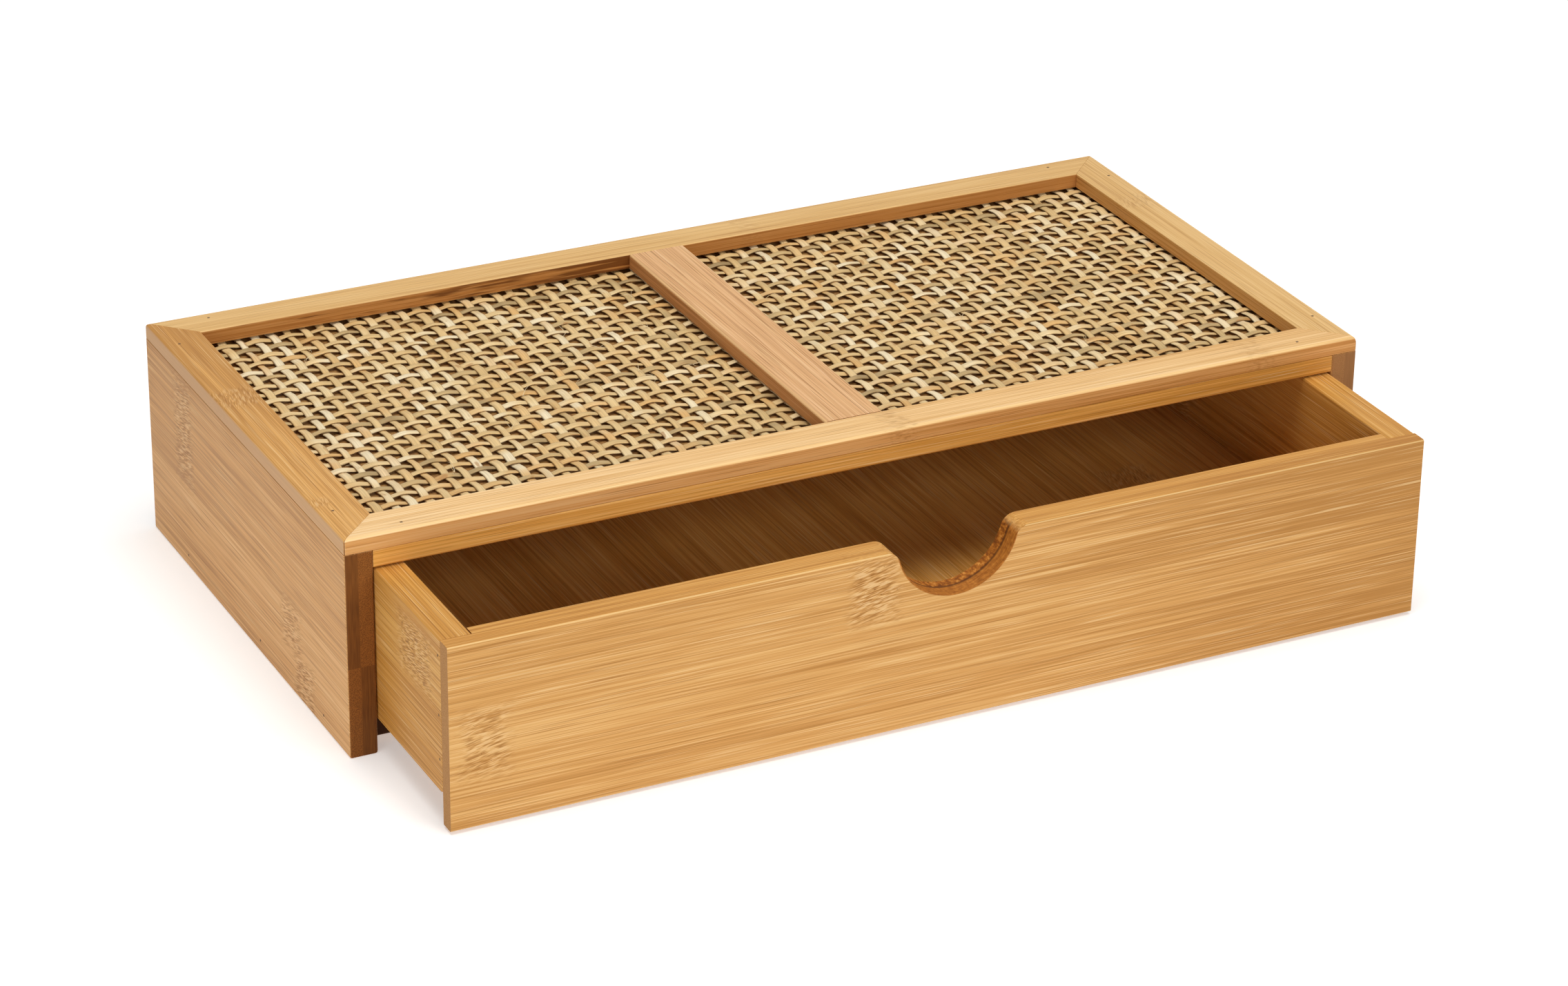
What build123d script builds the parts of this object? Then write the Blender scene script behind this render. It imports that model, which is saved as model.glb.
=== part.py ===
from build123d import *
from math import ceil
import os

# Tabletop box with one drawer: bamboo boards, a mitred top frame and a woven cane top.
# The front faces -Y, and the drawer is drawn out as far as it rests.

# Case sizes, in millimetres
case_width = 350
case_depth = 173
case_height = 73
side_thickness = 9
back_thickness = 9
bottom_thickness = 8.5
bottom_lift = 2.2
eased_edge = 0.8

# Top frame, apron and backing
frame_thickness = 5
frame_width = 14
bar_width = 20
end_round = 2.5
apron_height = 6
apron_depth = 9
backing_thickness = 3

# Woven cane: straight stakes run front to back, weavers pass over and under them
cane_pitch = 5.6
strand_width = 2.8
stake_thickness = 1.0
stake_edge = 0.2
weaver_thickness = 0.5
strand_clearance = 0.03
cane_edge_gap = 1

# Drawer
drawer_open = 55
drawer_length = 162
front_thickness = 5.4
front_ground_gap = 1.0
inner_front_thickness = 4
drawer_side_thickness = 10
drawer_back_thickness = 8
floor_thickness = 4
floor_lift = 3
groove_depth = 2
groove_play = 0.1
drawer_side_gap = 0.5
drawer_top_gap = 0.4
drawer_floor_gap = 0.3
closing_gap = 0.3

# Finger notch: a round scoop with rounded shoulders
notch_radius = 20.4
notch_rise = 2.2
shoulder_round = 5

# Square brads, driven flush
brad_gauge = 1.2
frame_brad_length = 9
frame_brad_inset = 20
drawer_brad_length = 18
drawer_brad_top_inset = 5.8
drawer_brad_low_inset = 10.7

# Places worked out from the sizes above
side_height = case_height - frame_thickness
inner_width = case_width - 2 * side_thickness
front_y = (drawer_open - case_depth) / 2
back_y = front_y + case_depth
case_mid_y = (front_y + back_y) / 2
apron_low = side_height - apron_height
bottom_top = bottom_lift + bottom_thickness
well_depth = case_depth - 2 * frame_width
drawer_y = front_y - drawer_open
drawer_width = inner_width - 2 * drawer_side_gap
drawer_inner_width = drawer_width - 2 * drawer_side_thickness
drawer_top = apron_low - drawer_top_gap
drawer_low = bottom_top + drawer_floor_gap
drawer_side_y = drawer_y + front_thickness
drawer_inner_y = drawer_side_y + inner_front_thickness
drawer_back_y = drawer_y + drawer_length - drawer_back_thickness
floor_low = drawer_low + floor_lift
LOW_CORNER = (Align.MIN, Align.MIN, Align.MIN)
MID_LOW = (Align.CENTER, Align.MIN, Align.MIN)

# The weaver's wave clears a stake at its middle and at its edges
clear_of_middle = stake_thickness / 2 + strand_clearance + weaver_thickness / 2
clear_of_edge = stake_edge / 2 + strand_clearance + weaver_thickness / 2
wave_height = max(clear_of_middle, clear_of_edge / (1 - strand_width / cane_pitch))
cane_thickness = 2 * wave_height + weaver_thickness
cane_mid_z = side_height - cane_thickness / 2
opening_width = case_width - 2 * frame_width
stake_count = ceil(opening_width / cane_pitch)
weaver_count = ceil(well_depth / cane_pitch)
cane_width = inner_width - 2 * cane_edge_gap
cane_length = case_depth - apron_depth - back_thickness - 2 * cane_edge_gap
cane_mid_y = (front_y + apron_depth + back_y - back_thickness) / 2
backing_low = side_height - cane_thickness - backing_thickness

# Brads through the top frame, two in each rail and stile
rail_brad_x = case_width / 2 - frame_brad_inset
stile_brad_x = case_width / 2 - side_thickness / 2
with BuildPart() as frame_brads:
    with BuildSketch(Plane.XY.offset(case_height)):
        for side in (-1, 1):
            with Locations(
                (side * rail_brad_x, front_y + apron_depth / 2),
                (side * rail_brad_x, back_y - back_thickness / 2),
                (side * stile_brad_x, front_y + frame_brad_inset),
                (side * stile_brad_x, back_y - frame_brad_inset),
            ):
                Rectangle(brad_gauge, brad_gauge)
    extrude(amount=-frame_brad_length)

# Brads through the drawer sides, three at each corner
brad_heights = (
    drawer_low + drawer_brad_low_inset,
    (drawer_low + drawer_top) / 2,
    drawer_top - drawer_brad_top_inset,
)
brad_columns = (
    drawer_side_y + inner_front_thickness / 2,
    drawer_back_y + drawer_back_thickness / 2,
)
with BuildPart() as drawer_brads:
    for side in (-1, 1):
        with BuildSketch(Plane.YZ.offset(side * drawer_width / 2)):
            with Locations(*[(y, z) for y in brad_columns for z in brad_heights]):
                Rectangle(brad_gauge, brad_gauge)
        extrude(amount=-side * drawer_brad_length)

# Case: two sides with the back, bottom board and apron between them
with BuildPart() as left_side_panel:
    with Locations((-case_width / 2, front_y, 0)):
        Box(side_thickness, case_depth, side_height, align=LOW_CORNER)
    seat_edges = left_side_panel.edges().group_by(Axis.Z)[-1]
    chamfer(left_side_panel.edges() - seat_edges, eased_edge)
    add(frame_brads.part, mode=Mode.SUBTRACT)

with BuildPart() as right_side_panel:
    mirror(left_side_panel.part, about=Plane.YZ)

with BuildPart() as back_panel:
    with Locations((0, back_y - back_thickness, 0)):
        Box(inner_width, back_thickness, side_height, align=MID_LOW)
    chamfer(back_panel.edges().filter_by(Axis.X).group_by(Axis.Z)[0], eased_edge)
    add(frame_brads.part, mode=Mode.SUBTRACT)

bottom_y = front_y + front_thickness + closing_gap
with BuildPart() as bottom_board:
    with Locations((0, bottom_y, bottom_lift)):
        Box(inner_width, back_y - back_thickness - bottom_y, bottom_thickness, align=MID_LOW)
    chamfer(bottom_board.edges().filter_by(Axis.X).group_by(Axis.Y)[0], eased_edge)

with BuildPart() as front_apron:
    with Locations((0, front_y, apron_low)):
        Box(inner_width, apron_depth, apron_height, align=MID_LOW)
    chamfer(front_apron.edges().filter_by(Axis.X).group_by(Axis.Z)[0], eased_edge)
    add(frame_brads.part, mode=Mode.SUBTRACT)

# Top frame: one rounded ring, cut into two rails and two stiles at the mitres
with BuildPart() as frame_ring:
    with BuildSketch(Plane.XY.offset(side_height)):
        with Locations((0, case_mid_y)):
            Rectangle(case_width, case_depth)
            Rectangle(opening_width, well_depth, mode=Mode.SUBTRACT)
    extrude(amount=frame_thickness)
    top_edges = frame_ring.faces().sort_by(Axis.Z)[-1].outer_wire().edges()
    fillet(top_edges.filter_by(Axis.Y), end_round)
    long_edges = frame_ring.edges().filter_by(Axis.X).group_by(Axis.Z)[-1]
    chamfer(long_edges.group_by(Axis.Y)[0] + long_edges.group_by(Axis.Y)[-1], eased_edge)
    add(frame_brads.part, mode=Mode.SUBTRACT)

with BuildPart() as front_rail:
    with BuildSketch(Plane.XY.offset(side_height)):
        with BuildLine():
            Polyline(
                (-case_width / 2, front_y),
                (case_width / 2, front_y),
                (case_width / 2 - frame_width, front_y + frame_width),
                (-case_width / 2 + frame_width, front_y + frame_width),
                close=True,
            )
        make_face()
    extrude(amount=frame_thickness)
    add(frame_ring.part, mode=Mode.INTERSECT)

with BuildPart() as back_rail:
    mirror(front_rail.part, about=Plane.XZ.offset(-case_mid_y))

with BuildPart() as left_stile:
    with BuildSketch(Plane.XY.offset(side_height)):
        with BuildLine():
            Polyline(
                (-case_width / 2, front_y),
                (-case_width / 2 + frame_width, front_y + frame_width),
                (-case_width / 2 + frame_width, back_y - frame_width),
                (-case_width / 2, back_y),
                close=True,
            )
        make_face()
    extrude(amount=frame_thickness)
    add(frame_ring.part, mode=Mode.INTERSECT)

with BuildPart() as right_stile:
    mirror(left_stile.part, about=Plane.YZ)

with BuildPart() as centre_bar:
    with Locations((0, front_y + frame_width, side_height)):
        Box(bar_width, well_depth, frame_thickness, align=MID_LOW)

with BuildPart() as backing_board:
    backing_y = front_y + apron_depth
    with Locations((0, backing_y, backing_low)):
        Box(inner_width, back_y - back_thickness - backing_y, backing_thickness, align=MID_LOW)

# Cane stakes: flat splits, thick in the middle and thin at both edges
with BuildPart() as cane_stakes:
    with BuildSketch(Plane.XZ.offset(cane_length / 2 - cane_mid_y)):
        with Locations((0, cane_mid_z)):
            with GridLocations(cane_pitch, 0, stake_count, 1):
                Polygon(
                    (-strand_width / 2, -stake_edge / 2),
                    (0, -stake_thickness / 2),
                    (strand_width / 2, -stake_edge / 2),
                    (strand_width / 2, stake_edge / 2),
                    (0, stake_thickness / 2),
                    (-strand_width / 2, stake_edge / 2),
                )
    extrude(amount=-cane_length, clean=False)


def weaver_outline(first):
    """Side view of one weaver, over its first stake when first is 1 and under it when -1."""
    wave = [(-cane_width / 2, cane_mid_z)]
    for stake in range(stake_count):
        x = (stake - (stake_count - 1) / 2) * cane_pitch
        wave.append((x, cane_mid_z + first * wave_height * (-1) ** stake))
    wave.append((cane_width / 2, cane_mid_z))
    upper = [(x, z + weaver_thickness / 2) for x, z in wave]
    lower = [(x, z - weaver_thickness / 2) for x, z in reversed(wave)]
    return upper + lower


# Cane weavers: neighbours start on opposite sides of the first stake
with BuildPart() as cane_weavers:
    for row in range(weaver_count):
        row_y = cane_mid_y + (row - (weaver_count - 1) / 2) * cane_pitch
        with BuildSketch(Plane.XZ.offset(strand_width / 2 - row_y)):
            with BuildLine():
                Polyline(*weaver_outline((-1) ** row), close=True)
            make_face()
    extrude(amount=-strand_width, clean=False)


def front_outline(width, low):
    """Front board seen from the front, with the finger notch in its top edge."""
    with BuildSketch() as outline:
        with Locations((0, (low + drawer_top) / 2)):
            Rectangle(width, drawer_top - low)
        with Locations((0, drawer_top + notch_rise)):
            Circle(notch_radius, mode=Mode.SUBTRACT)
        shoulders = outline.vertices().group_by(Axis.Y)[-1].sort_by(Axis.X)[1:-1]
        fillet(shoulders, shoulder_round)
    return outline.sketch


# Drawer: a face board over an inner front, two sides, a back and a grooved-in floor
with BuildPart() as drawer_front:
    with BuildSketch(Plane.XZ.offset(-drawer_y)):
        add(front_outline(drawer_width, front_ground_gap))
    extrude(amount=-front_thickness)
    chamfer(drawer_front.faces().sort_by(Axis.Y)[0].edges(), eased_edge)

with BuildPart() as floor_groove:
    with Locations((0, drawer_inner_y - groove_depth, floor_low)):
        Box(
            drawer_inner_width + 2 * groove_depth,
            drawer_back_y - drawer_inner_y + 2 * groove_depth,
            floor_thickness + groove_play,
            align=MID_LOW,
        )

with BuildPart() as drawer_inner_front:
    with BuildSketch(Plane.XZ.offset(-drawer_side_y)):
        add(front_outline(drawer_inner_width, drawer_low))
    extrude(amount=-inner_front_thickness)
    add(floor_groove.part, mode=Mode.SUBTRACT)
    add(drawer_brads.part, mode=Mode.SUBTRACT)

with BuildPart() as drawer_left_side:
    with Locations((-drawer_width / 2, drawer_side_y, drawer_low)):
        Box(
            drawer_side_thickness,
            drawer_length - front_thickness,
            drawer_top - drawer_low,
            align=LOW_CORNER,
        )
    chamfer(drawer_left_side.edges().filter_by(Axis.Y), eased_edge)
    add(floor_groove.part, mode=Mode.SUBTRACT)
    add(drawer_brads.part, mode=Mode.SUBTRACT)

with BuildPart() as drawer_right_side:
    mirror(drawer_left_side.part, about=Plane.YZ)

with BuildPart() as drawer_back:
    with Locations((0, drawer_back_y, drawer_low)):
        Box(drawer_inner_width, drawer_back_thickness, drawer_top - drawer_low, align=MID_LOW)
    chamfer(drawer_back.edges().filter_by(Axis.X).group_by(Axis.Z)[-1], eased_edge)
    add(floor_groove.part, mode=Mode.SUBTRACT)
    add(drawer_brads.part, mode=Mode.SUBTRACT)

with BuildPart() as drawer_floor:
    with Locations((0, drawer_inner_y - groove_depth + groove_play, floor_low)):
        Box(
            drawer_inner_width + 2 * (groove_depth - groove_play),
            drawer_back_y - drawer_inner_y + 2 * (groove_depth - groove_play),
            floor_thickness,
            align=MID_LOW,
        )

pieces = {
    "left_side_panel": left_side_panel,
    "right_side_panel": right_side_panel,
    "back_panel": back_panel,
    "bottom_board": bottom_board,
    "front_apron": front_apron,
    "front_rail": front_rail,
    "back_rail": back_rail,
    "left_stile": left_stile,
    "right_stile": right_stile,
    "centre_bar": centre_bar,
    "backing_board": backing_board,
    "cane_stakes": cane_stakes,
    "cane_weavers": cane_weavers,
    "frame_brads": frame_brads,
    "drawer_front": drawer_front,
    "drawer_inner_front": drawer_inner_front,
    "drawer_left_side": drawer_left_side,
    "drawer_right_side": drawer_right_side,
    "drawer_back": drawer_back,
    "drawer_floor": drawer_floor,
    "drawer_brads": drawer_brads,
}
os.makedirs("parts", exist_ok=True)
for label, piece in pieces.items():
    piece.part.label = label
    export_step(piece.part, f"parts/{label}.step")
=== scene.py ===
"""A bamboo desk box: one drawer under a tray top of woven cane.

The boards are laminated bamboo, planed, eased along their edges and lacquered.
The bottom of the tray is one plain-woven sheet of rattan splits on a brown board.
Lengths are in millimetres where a name ends in _mm or _MM, and otherwise in metres.
"""
import math
import random

import bpy
import numpy
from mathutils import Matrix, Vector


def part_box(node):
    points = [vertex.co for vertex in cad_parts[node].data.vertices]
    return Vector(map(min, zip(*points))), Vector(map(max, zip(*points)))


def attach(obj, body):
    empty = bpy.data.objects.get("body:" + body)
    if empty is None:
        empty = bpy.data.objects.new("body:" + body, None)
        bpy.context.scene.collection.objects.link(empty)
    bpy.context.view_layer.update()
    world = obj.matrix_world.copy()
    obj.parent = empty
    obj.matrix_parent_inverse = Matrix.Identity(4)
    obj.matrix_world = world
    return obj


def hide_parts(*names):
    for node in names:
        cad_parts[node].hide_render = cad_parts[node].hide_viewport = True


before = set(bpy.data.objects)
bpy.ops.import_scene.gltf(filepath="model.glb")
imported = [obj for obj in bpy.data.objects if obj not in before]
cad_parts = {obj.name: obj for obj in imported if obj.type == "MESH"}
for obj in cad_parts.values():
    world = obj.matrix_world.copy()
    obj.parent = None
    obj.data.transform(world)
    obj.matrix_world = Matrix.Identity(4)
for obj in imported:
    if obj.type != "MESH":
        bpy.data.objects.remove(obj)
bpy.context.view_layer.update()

MM = 0.001
NEAR = 0.01 * MM
X, Y, Z = 0, 1, 2


# Hand tools: selecting, blocks, eased edges, cuts, copies

def take(*pieces):
    """Select these pieces alone, and make the first the active one."""
    bpy.ops.object.select_all(action="DESELECT")
    for piece in pieces:
        piece.select_set(True)
    bpy.context.view_layer.objects.active = pieces[0]


def settle(*pieces):
    """Keep the place, turn and size of pieces in their meshes."""
    take(*pieces)
    bpy.ops.object.transform_apply(location=True, rotation=True, scale=True)


def block(name, low, high):
    """Start a piece as a cube at its size and place."""
    bpy.ops.object.select_all(action="DESELECT")
    middle = [(a + b) / 2 for a, b in zip(low, high)]
    size = [b - a for a, b in zip(low, high)]
    bpy.ops.mesh.primitive_cube_add(size=1, location=middle, scale=size)
    piece = bpy.context.active_object
    piece.name = name
    settle(piece)
    return piece


def round_bar(name, middle, radius_mm, length, sides):
    """Start a piece as a round bar along Y."""
    bpy.ops.object.select_all(action="DESELECT")
    bpy.ops.mesh.primitive_cylinder_add(vertices=sides, radius=radius_mm * MM, depth=length,
                                        location=middle, rotation=(math.pi / 2, 0, 0))
    piece = bpy.context.active_object
    piece.name = name
    settle(piece)
    return piece


def pick_edges(piece, wanted):
    """Open a piece for editing, with those edges selected whose two ends are as wanted."""
    take(piece)
    bpy.ops.object.mode_set(mode="EDIT")
    bpy.ops.mesh.select_mode(type="EDGE")
    bpy.ops.mesh.select_all(action="DESELECT")
    bpy.ops.object.mode_set(mode="OBJECT")
    points = piece.data.vertices
    for edge in piece.data.edges:
        edge.select = wanted([points[i].co for i in edge.vertices])
    bpy.ops.object.mode_set(mode="EDIT")


def lie_on(ends, planes):
    """True where both ends are on every one of the planes, given as axis and place."""
    return all(abs(end[axis] - place) < NEAR for end in ends for axis, place in planes)


def edge_pair(low, high, axis, plane):
    """The two edges where a plane meets a board's two sides across an axis."""
    return [[(axis, low[axis]), plane], [(axis, high[axis]), plane]]


def ease(piece, edges, radius_mm, segments=4):
    """Round the edges that lie on the named pairs of planes."""
    pick_edges(piece, lambda ends: any(lie_on(ends, planes) for planes in edges))
    bpy.ops.mesh.bevel(offset=radius_mm * MM, segments=segments, affect="EDGES")
    bpy.ops.object.mode_set(mode="OBJECT")


def ring_cuts(piece, axis, least, cuts):
    """Cut rings into a long thin piece, across its edges that run along one axis."""
    pick_edges(piece, lambda ends: abs(ends[0][axis] - ends[1][axis]) > least)
    bpy.ops.mesh.subdivide(number_cuts=cuts)
    bpy.ops.object.mode_set(mode="OBJECT")


def work(piece, kind, **settings):
    """Add one modifier and apply it."""
    take(piece)
    made = piece.modifiers.new(kind.lower(), kind)
    for name, value in settings.items():
        setattr(made, name, value)
    bpy.ops.object.modifier_apply(modifier=made.name)


def round_over(piece, rounds):
    """Round edges by different amounts in one go, each given by its two planes and its radius."""
    full_mm = max(radius_mm for planes, radius_mm in rounds)
    points = piece.data.vertices
    weights = piece.data.attributes.new("bevel_weight_edge", "FLOAT", "EDGE")
    for edge in piece.data.edges:
        ends = [points[i].co for i in edge.vertices]
        for planes, radius_mm in rounds:
            if lie_on(ends, planes):
                weights.data[edge.index].value = radius_mm / full_mm
    work(piece, "BEVEL", width=full_mm * MM, segments=4, limit_method="WEIGHT")


def saw(piece, place, normal):
    """Cut a piece along a plane, and keep what lies behind the plane's normal."""
    take(piece)
    bpy.ops.object.mode_set(mode="EDIT")
    bpy.ops.mesh.select_all(action="SELECT")
    bpy.ops.mesh.bisect(plane_co=place, plane_no=normal, use_fill=True, clear_outer=True)
    bpy.ops.object.mode_set(mode="OBJECT")


def cut_away(piece, cutter):
    """Take a cutter's shape out of a piece, and throw the cutter away."""
    work(piece, "BOOLEAN", operation="DIFFERENCE", object=cutter, solver="EXACT")
    bpy.data.objects.remove(cutter, do_unlink=True)


def polish(piece, arris_mm):
    """Break the edges that are still sharp, then let only the rounded ones shade round."""
    work(piece, "BEVEL", width=arris_mm * MM, segments=2, limit_method="ANGLE",
         angle_limit=math.radians(40), use_clamp_overlap=True)
    take(piece)
    bpy.ops.object.shade_smooth()
    work(piece, "WEIGHTED_NORMAL", keep_sharp=True)


def twin(piece):
    """A copy of a piece, with a mesh of its own."""
    copy = piece.copy()
    copy.data = piece.data.copy()
    bpy.context.collection.objects.link(copy)
    return copy


def gather(name, pattern, copies):
    """Join the copies of a pattern as one piece, and throw the pattern away."""
    bpy.data.objects.remove(pattern, do_unlink=True)
    settle(*copies)
    bpy.ops.object.join()
    joined = bpy.context.active_object
    joined.name = name
    return joined


def dress(piece, body, slot, finish, *nodes):
    """Give a finished piece its material and its body, and hide the CAD nodes it stands for."""
    piece.data.materials.clear()
    piece.data.materials.append(finish)
    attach(piece, body)
    if nodes:
        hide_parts(*nodes)


# Materials: colours, and one way to add a node

# the sockets of a colour mix: how much of one colour lies over another, and what comes out
SHARE, UNDER, OVER, MIXED = 0, 6, 7, 2
# noise swings about this grey
MIDDLE_GREY = (0.5, 0.5, 0.5)


def colour(text):
    """An sRGB hex colour as linear red, green, blue and alpha."""
    levels = [int(text[i:i + 2], 16) / 255 for i in (1, 3, 5)]
    return [c / 12.92 if c <= 0.04045 else ((c + 0.055) / 1.055) ** 2.4 for c in levels] + [1.0]


def add(tree, kind, feeds=(), stops=(), **settings):
    """Add one node with its settings, its inputs set or linked, and its ramp's stops.

    A ramp has two stops of its own, so its first and last are given before those between.
    """
    made = tree.nodes.new("ShaderNode" + kind)
    for name, value in settings.items():
        setattr(made, name, value)
    for place, value in dict(feeds).items():
        if isinstance(value, bpy.types.NodeSocket):
            tree.links.new(value, made.inputs[place])
        else:
            made.inputs[place].default_value = value
    for number, (place, text) in enumerate(stops):
        ramp = made.color_ramp.elements
        stop = ramp[number] if number < 2 else ramp.new(place)
        stop.position, stop.color = place, colour(text)
    return made


def start_material(name):
    """An empty material and its node tree."""
    made = bpy.data.materials.new(name)
    made.use_nodes = True
    made.node_tree.nodes.clear()
    return made, made.node_tree


def grain(tree, place, sizes_mm, detail):
    """Noise whose flecks have the given length along each axis, in millimetres."""
    scale = [1 / (size * MM) for size in sizes_mm]
    lay = add(tree, "Mapping", {"Vector": place, "Scale": scale})
    return add(tree, "TexNoise", {"Vector": lay.outputs[0], "Scale": 1.0, "Detail": detail})


# Laminated bamboo: strips pressed side by side, planed across their knuckles and lacquered.
# The eye gets fine straight fibres, a change of tone from strip to strip, and here and
# there a knuckle, a short band of brown flecks that stops at the strip's edges.
# Sawn ends are browner and full of dark pores. The lacquer gives a soft satin gloss.

# a planed face's dark, middle and pale tone
GOLDEN = ("#B47F40", "#CE9957", "#DFB171")
SANDY = ("#C29152", "#D9AB69", "#E6BD7F")
CREAM = ("#DAA866", "#F1C68B", "#FADBAB")
ROSY = ("#C08B52", "#D9A264", "#E7B980")
OCHRE = ("#BE8743", "#DAA35C", "#E9B975")
PINKISH = ("#C69463", "#E0AD78", "#EDC498")
AMBER = ("#B0762D", "#CB9043", "#DCA759")
HONEY = ("#C18334", "#DC9D4B", "#EEB666")
# a sawn end's wood and pores
BROWN_END = ("#905723", "#502D0F")
TAN_END = ("#A27040", "#875C35")
GREY_END = ("#B78650", "#95642F")
# painted shadow: the bottom board's sawn front end lies in deep shade under the drawer, so it is given
# near-black tones
SHADOWED_END = ("#4A2A10", "#2E1A0A")
PORES_PER_MM = 3.4
# veins, a knuckle's pale and brown dashes, which also paint the highlight and shade of a ruffled relief,
# and the open pores between them
BROWN_VEIN, PALE_VEIN = "#9A6630", "#F3D29B"
BROWN_DASH_AND_SHADE, PALE_DASH_AND_HIGHLIGHT, OPEN_PORE = "#9C682F", "#EBCB99", "#6B4218"
# the pale tone of a rounded arris: wear, and painted highlight
ARRIS_WEAR_AND_HIGHLIGHT = "#F6D595"
# the colour of a ragged dark streak on one side of a board
STREAK_BROWN = "#6E3D14"
NOTCH_SEAM = "#4E290C"


class Board:
    """A board's material in the making, and the way its fibres and strips lie."""

    def __init__(self, name, along, across):
        self.material, self.tree = start_material(name)
        self.along, self.across, self.through = along, across, X + Y + Z - along - across
        self.place = add(self.tree, "TexCoord").outputs["Object"]
        self.axes = add(self.tree, "SeparateXYZ", {0: self.place}).outputs
        normal = add(self.tree, "NewGeometry").outputs["Normal"]
        self.facing = add(self.tree, "SeparateXYZ", {0: normal}).outputs
        self.endways = add(self.tree, "Math", {0: self.facing[along]}, operation="ABSOLUTE").outputs[0]

    def lay(self, along, across, through):
        """Values for along, across and through the board, put in the order X, Y, Z."""
        vector = [0.0, 0.0, 0.0]
        vector[self.along], vector[self.across], vector[self.through] = along, across, through
        return vector


def strips(board, strip_mm, first_mm, lot_seed):
    """The strip's number, a chance value for its tone, and its own run of fibres."""
    tree = board.tree
    ladder = add(tree, "MapRange", {"Value": board.axes[board.across], "From Min": first_mm * MM,
                                    "From Max": (first_mm + strip_mm) * MM}, clamp=False)
    number = add(tree, "Math", {0: ladder.outputs[0]}, operation="FLOOR").outputs[0]
    tag = add(tree, "Math", {0: number, 1: lot_seed}, operation="ADD").outputs[0]
    lot = add(tree, "TexWhiteNoise", {"W": tag}, noise_dimensions="1D").outputs["Value"]
    # its fibres come from another stretch of the pattern than its neighbours'
    farthest = (3.1, 1.7, 2.3)
    slip = add(tree, "VectorMath", {0: farthest, "Scale": lot}, operation="SCALE").outputs[0]
    slipped = add(tree, "VectorMath", {0: board.place, 1: slip}, operation="ADD").outputs[0]
    return number, lot, slipped


def knuckle_band(board, ruffle, knuckles):
    """How strongly a knuckle shows: ruffled patches, bounded by the strip they grew on."""
    tree, lay = board.tree, board.lay
    ragged = lay(8 * MM, 1 * MM, 1 * MM)
    ruffled = add(tree, "VectorMath", {0: ruffle, 1: ragged, 2: board.place},
                  operation="MULTIPLY_ADD").outputs[0]
    band = 0.0
    for middle_mm, level_mm, half_mm, reach_mm, depth in knuckles:
        spot = add(tree, "Mapping", {
            "Vector": ruffled, "Location": lay(middle_mm * MM, level_mm * MM, 0),
            "Scale": lay(half_mm * MM, reach_mm * MM, 1)}, vector_type="TEXTURE").outputs[0]
        size = add(tree, "VectorMath", {0: spot}, operation="ABSOLUTE").outputs[0]
        sides = add(tree, "SeparateXYZ", {0: size}).outputs
        far = add(tree, "Math", {0: sides[board.along], 1: sides[board.across]},
                  operation="MAXIMUM").outputs[0]
        near = add(tree, "MapRange", {"Value": far, "From Min": 1.25, "From Max": 0.45,
                                      "To Max": depth},
                   interpolation_type="SMOOTHSTEP").outputs[0]
        band = add(tree, "Math", {0: near, 1: band}, operation="MAXIMUM").outputs[0]
    return band


def fibre_run(board, slipped, ruffle, band):
    """Where the fibres run: they sway a little, and bend round a knuckle."""
    tree, lay = board.tree, board.lay
    sway = grain(tree, slipped, lay(140, 22, 22), 1.0).outputs["Color"]
    sway = add(tree, "VectorMath", {0: sway, 1: MIDDLE_GREY}, operation="SUBTRACT").outputs[0]
    bend = add(tree, "VectorMath", {0: ruffle, "Scale": band}, operation="SCALE").outputs[0]
    aside = lay(0, 0.8 * MM, 0.8 * MM)
    run = slipped
    for push in (sway, bend):
        run = add(tree, "VectorMath", {0: push, 1: aside, 2: run}, operation="MULTIPLY_ADD").outputs[0]
    return run


def planed_face(board, run, lot, tones, falloff_shade):
    """The tone of the fibres, from hair to hair and from strip to strip, with painted shade where the light
    falls off along the board.
    """
    tree, lay = board.tree, board.lay
    # real fibres are about 0.25 mm wide, drawn at 0.4 mm so that they show
    fibre = grain(tree, run, lay(70, 0.4, 0.4), 2.0).outputs["Fac"]
    streak = grain(tree, run, lay(150, 1.3, 1.3), 2.0).outputs["Fac"]
    shade = grain(tree, run, lay(260, 11, 11), 1.0).outputs["Fac"]
    weights = (1.15, 0.6, 0.35, 0.2)
    tone = 0.5 - sum(weights) / 2
    for part, weight in zip((fibre, streak, shade, lot), weights):
        tone = add(tree, "Math", {0: part, 1: weight, 2: tone}, operation="MULTIPLY_ADD").outputs[0]
    if falloff_shade is not None:
        # painted shade: the tone darkens along the board, standing in for the light falling off across it
        start_mm, stop_mm, change = falloff_shade
        falloff_slide = add(tree, "MapRange", {"Value": board.axes[board.along], "From Min": start_mm * MM,
                                       "From Max": stop_mm * MM, "To Max": change}).outputs[0]
        tone = add(tree, "Math", {0: tone, 1: falloff_slide}, operation="ADD").outputs[0]
    dark, middle, pale = tones
    wood = add(tree, "ValToRGB", {0: tone}, ((0.22, dark), (0.80, pale), (0.50, middle))).outputs[0]
    return wood, fibre


def draw_veins(board, wood, run, band, vein):
    """Veins are hair-thin lines a few centimetres long, brown ones and pale ones."""
    tree = board.tree
    thread = grain(tree, run, board.lay(36, 0.28, 0.28), 1.0).outputs["Fac"]
    for none, full, most, tint in ((0.60, 0.70, vein, BROWN_VEIN), (0.39, 0.31, 0.42, PALE_VEIN)):
        # a knuckle hides most of them
        shown = add(tree, "MapRange", {"Value": band, "To Min": most, "To Max": 0.1}).outputs[0]
        line = add(tree, "MapRange", {"Value": thread, "From Min": none, "From Max": full,
                                      "To Max": shown}).outputs[0]
        wood = add(tree, "Mix", {SHARE: line, UNDER: wood, OVER: colour(tint)},
                   data_type="RGBA").outputs[MIXED]
    return wood


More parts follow.
